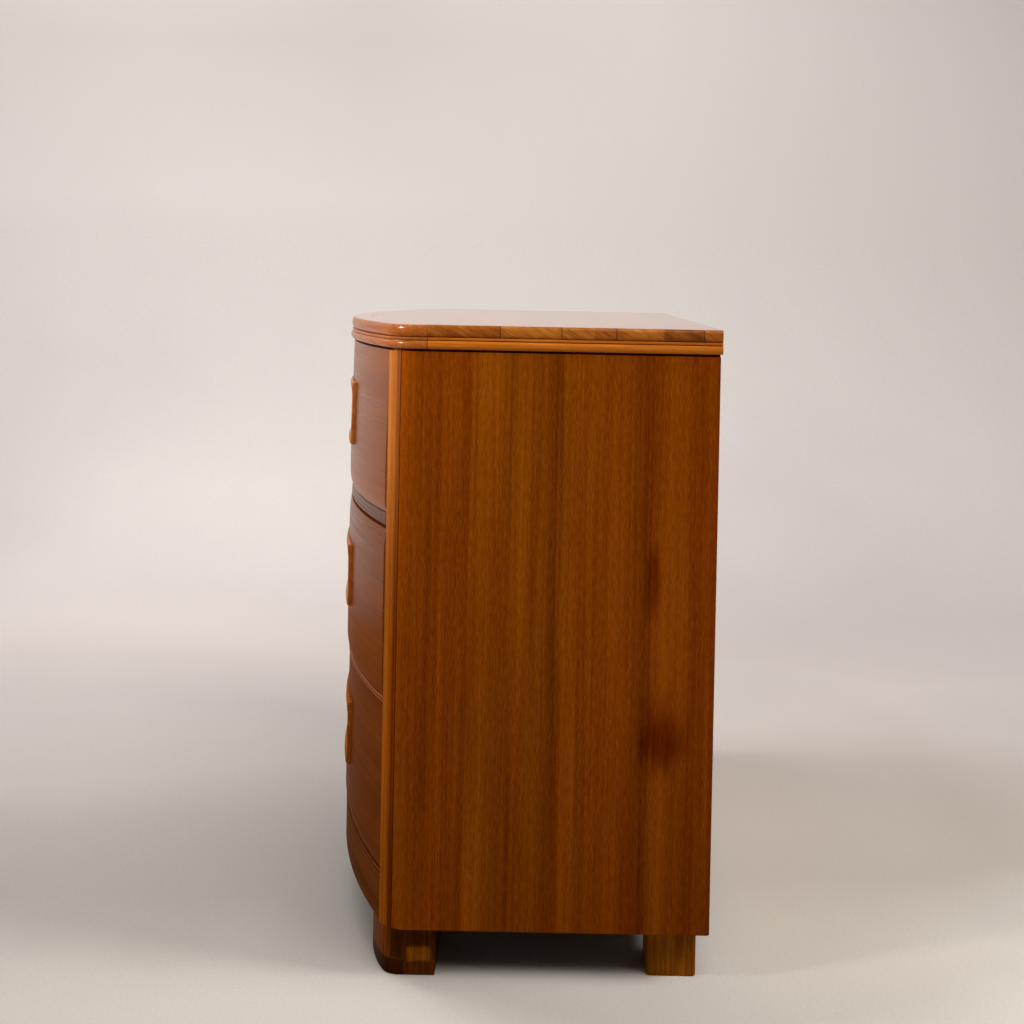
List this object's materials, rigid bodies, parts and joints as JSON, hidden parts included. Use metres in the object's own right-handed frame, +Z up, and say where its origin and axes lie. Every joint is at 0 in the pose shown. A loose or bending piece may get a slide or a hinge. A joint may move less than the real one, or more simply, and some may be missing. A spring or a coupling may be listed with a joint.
{
  "type": "chest of drawers",
  "caption": "Bow-front chest of drawers in red-brown veneer with lighter solid wood edges, carved finger pulls and block feet.",
  "frame": {"origin": "on the floor, under the middle of the box that just holds the whole chest with its drawers shut", "axes": "+Z up, -Y out of the bowed front (the way the drawers open), +X to the right of a person who stands in front of the chest and looks at its front"},
  "size_m": [0.9228, 0.547, 0.864],
  "materials": {
    "case_veneer": "red-brown striped veneer under glossy clear lacquer",
    "front_veneer": "red-brown veneer with level grain under glossy clear lacquer",
    "solid_edge": "orange-brown solid hardwood under glossy clear lacquer",
    "rail_wood": "brown solid hardwood under clear lacquer",
    "foot_wood": "brown solid hardwood under clear lacquer",
    "inside_wood": "pale hardwood, planed and unfinished",
    "plywood": "thin plywood, sanded and unfinished"
  },
  "bodies": {
    "case": {"top_panel": "case_veneer", "top_edge_front": "solid_edge", "top_edge_right": "solid_edge", "top_edge_left": "solid_edge", "top_bead_front": "solid_edge", "top_bead_right": "solid_edge", "top_bead_left": "solid_edge", "top_back_rail": "inside_wood", "side_panel_right": "case_veneer", "side_panel_left": "case_veneer", "corner_stile_right": "solid_edge", "corner_stile_left": "solid_edge", "back_panel": "plywood", "top_front_rail": "inside_wood", "top_frame": "inside_wood", "front_rail_upper": "rail_wood", "front_rail_lower": "rail_wood", "front_rail_bottom": "rail_wood", "web_frame_upper": "inside_wood", "web_frame_lower": "inside_wood", "web_frame_bottom": "inside_wood", "dust_panel_upper": "plywood", "dust_panel_lower": "plywood", "dust_panel_bottom": "plywood", "drawer_track_upper": "inside_wood", "drawer_track_lower": "inside_wood", "drawer_track_bottom": "inside_wood", "apron": "front_veneer", "front_foot_right": "foot_wood", "front_foot_left": "foot_wood", "rear_foot_right": "foot_wood", "rear_foot_left": "foot_wood", "front_foot_block_right": "inside_wood", "front_foot_block_left": "inside_wood", "rear_foot_block_right": "inside_wood", "rear_foot_block_left": "inside_wood"},
    "top_drawer": {"top_drawer_front": "front_veneer", "top_drawer_side_right": "inside_wood", "top_drawer_side_left": "inside_wood", "top_drawer_bottom": "plywood", "top_drawer_back": "inside_wood", "top_drawer_guide": "inside_wood", "top_drawer_pull_right": "solid_edge", "top_drawer_pull_left": "solid_edge"},
    "middle_drawer": {"middle_drawer_front": "front_veneer", "middle_drawer_side_right": "inside_wood", "middle_drawer_side_left": "inside_wood", "middle_drawer_bottom": "plywood", "middle_drawer_back": "inside_wood", "middle_drawer_guide": "inside_wood", "middle_drawer_pull_right": "solid_edge", "middle_drawer_pull_left": "solid_edge"},
    "bottom_drawer": {"bottom_drawer_front": "front_veneer", "bottom_drawer_side_right": "inside_wood", "bottom_drawer_side_left": "inside_wood", "bottom_drawer_bottom": "plywood", "bottom_drawer_back": "inside_wood", "bottom_drawer_guide": "inside_wood", "bottom_drawer_pull_right": "solid_edge", "bottom_drawer_pull_left": "solid_edge"}
  },
  "joints": [
    {"name": "top_drawer_slide", "type": "slide", "parent": "case", "child": "top_drawer", "axis": [0, -1, 0], "range_m": [0, 0.3]},
    {"name": "middle_drawer_slide", "type": "slide", "parent": "case", "child": "middle_drawer", "axis": [0, -1, 0], "range_m": [0, 0.3]},
    {"name": "bottom_drawer_slide", "type": "slide", "parent": "case", "child": "bottom_drawer", "axis": [0, -1, 0], "range_m": [0, 0.3]}
  ]
}
